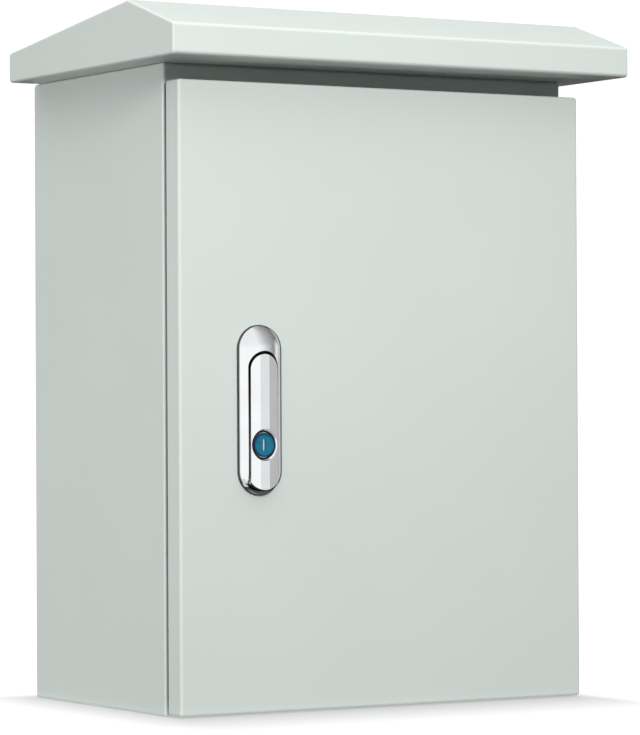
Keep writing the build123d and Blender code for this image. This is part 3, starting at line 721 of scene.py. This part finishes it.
def makeFootGlow(spec):
    bpy.ops.mesh.primitive_plane_add(size=1)
    card = bpy.context.object
    card.name = "footGlow"
    bpy.ops.object.mode_set(mode="EDIT")
    bpy.ops.transform.resize(value=(*spec["size"], 1))
    bpy.ops.transform.translate(value=spec["middle"])
    bpy.ops.object.mode_set(mode="OBJECT")
    card.visible_camera = False
    card.visible_glossy = False
    card.visible_shadow = False
    material, _, shader = startMaterial("footGlow")
    material.cycles.emission_sampling = "NONE"
    shader.inputs["Base Color"].default_value = (0, 0, 0, 1)
    shader.inputs["Emission Color"].default_value = (1, 1, 1, 1)
    shader.inputs["Emission Strength"].default_value = spec["strength"]
    card.data.materials.append(material)


makeFootGlow(footGlow)


# the studio round the box: a white backdrop, a dome that fills from above, and for the
# plated parts a room that is bright on the left and dark on the right. Each band is the
# height over which one tone turns into the next
studioSpec = {
    "backdrop": 1.1,
    "ground": 0.06, "groundBand": (-0.04, 0.02),
    "horizon": 0.06, "zenith": 1.50, "domeBand": (0.10, 0.85),
    "mirrorLow": [(-180, 0.16), (-128, 0.18), (-95, 1.15), (14, 1.15), (31, 0.90), (48, 0.58),
                  (66, 0.28), (78, 0.95), (86, 0.95), (93, 0.05), (180, 0.10)],
    "mirrorHigh": [(-180, 0.50), (-90, 1.05), (5, 1.05), (40, 0.55), (80, 0.25), (180, 0.30)],
    "mirrorBand": (0.12, 0.35),
    "mirrorGround": 0.50, "mirrorGroundBand": (-0.75, -0.45),
}
softboxes = {
    "keyBox": {"place": (-0.32, -1.37, 0.78), "aim": (0, 0, 0.22), "size": 0.26, "power": 16.2},
    "sideBox": {"place": (-1.45, 0.14, 0.27), "aim": (-0.15, 0.02, 0.22), "size": 0.46, "power": 8.9},
    "backBox": {"place": (1.50, 2.30, 0.60), "aim": (0.1, 0, 0.22), "size": 1.00, "power": 26.0},
}


def toneRound(tree, turn, stops):
    ramp = addNode(tree, "ShaderNodeValToRGB")
    points = ramp.color_ramp.elements
    while len(points) < len(stops):
        points.new(0.5)
    for point, (degrees, tone) in zip(points, stops):
        point.position = (degrees + 180) / 360
        point.color = (tone, tone, tone, 1)
    tree.links.new(turn, ramp.inputs["Fac"])
    return ramp.outputs["Color"]


def makeStudio(spec):
    world = bpy.data.worlds.new("studio")
    bpy.context.scene.world = world
    world.use_nodes = True
    tree = world.node_tree
    axes = splitAxes(tree, addNode(tree, "ShaderNodeTexCoord").outputs["Generated"])
    forward = calc(tree, "MULTIPLY", axes["Y"], -1.0)
    angle = calc(tree, "ARCTAN2", axes["X"], forward)
    turn = spread(tree, angle, 0, 1, -math.pi, math.pi)
    bands = {name: spread(tree, axes["Z"], 0, 1, *spec[name])
             for name in ("domeBand", "groundBand", "mirrorBand", "mirrorGroundBand")}
    dome = blendTones(tree, bands["domeBand"], spec["horizon"], spec["zenith"])
    dome = blendTones(tree, bands["groundBand"], spec["ground"], dome)
    low = toneRound(tree, turn, spec["mirrorLow"])
    high = toneRound(tree, turn, spec["mirrorHigh"])
    room = blendTones(tree, bands["mirrorBand"], low, high)
    room = blendTones(tree, bands["mirrorGroundBand"], spec["mirrorGround"], room)
    rays = addNode(tree, "ShaderNodeLightPath")
    light = blendTones(tree, rays.outputs["Is Glossy Ray"], dome, room)
    light = blendTones(tree, rays.outputs["Is Camera Ray"], light, spec["backdrop"])
    tree.links.new(light, tree.nodes["Background"].inputs["Color"])


def makeSoftbox(name, spec):
    bpy.ops.object.light_add(type="AREA", location=spec["place"])
    lamp = bpy.context.object
    lamp.name = name
    lamp.data.shape = "SQUARE"
    lamp.data.size = spec["size"]
    lamp.data.energy = spec["power"]
    lamp.visible_glossy = False
    away = lamp.location - Vector(spec["aim"])
    lamp.rotation_euler = away.to_track_quat("Z", "Y").to_euler()


makeStudio(studioSpec)
for boxName, softbox in softboxes.items():
    makeSoftbox(boxName, softbox)
bpy.context.scene.view_settings.view_transform = "Standard"
print("stage lit")


# camera as the photograph was taken, low and to the left of the door
cameraSpec = {
    "place": (-1.2100, -2.0140, 0.1953),
    "yaw": math.radians(31.04),
    "pitch": math.radians(0.55),
    "roll": math.radians(-0.283),
    "focalPixels": 3568.0,
    "imageHeight": 735.0,
    "sensorHeight": 24.0,
}


def makeCamera(spec):
    bpy.ops.object.camera_add(location=spec["place"])
    camera = bpy.context.object
    turn = Matrix.Rotation(-spec["yaw"], 4, "Z")
    lift = Matrix.Rotation(math.pi / 2 + spec["pitch"], 4, "X")
    lean = Matrix.Rotation(spec["roll"], 4, "Z")
    camera.rotation_euler = (turn @ lift @ lean).to_euler()
    camera.data.sensor_fit = "VERTICAL"
    camera.data.sensor_height = spec["sensorHeight"]
    camera.data.lens = spec["focalPixels"] * spec["sensorHeight"] / spec["imageHeight"]
    bpy.context.scene.camera = camera


makeCamera(cameraSpec)
print("camera set")
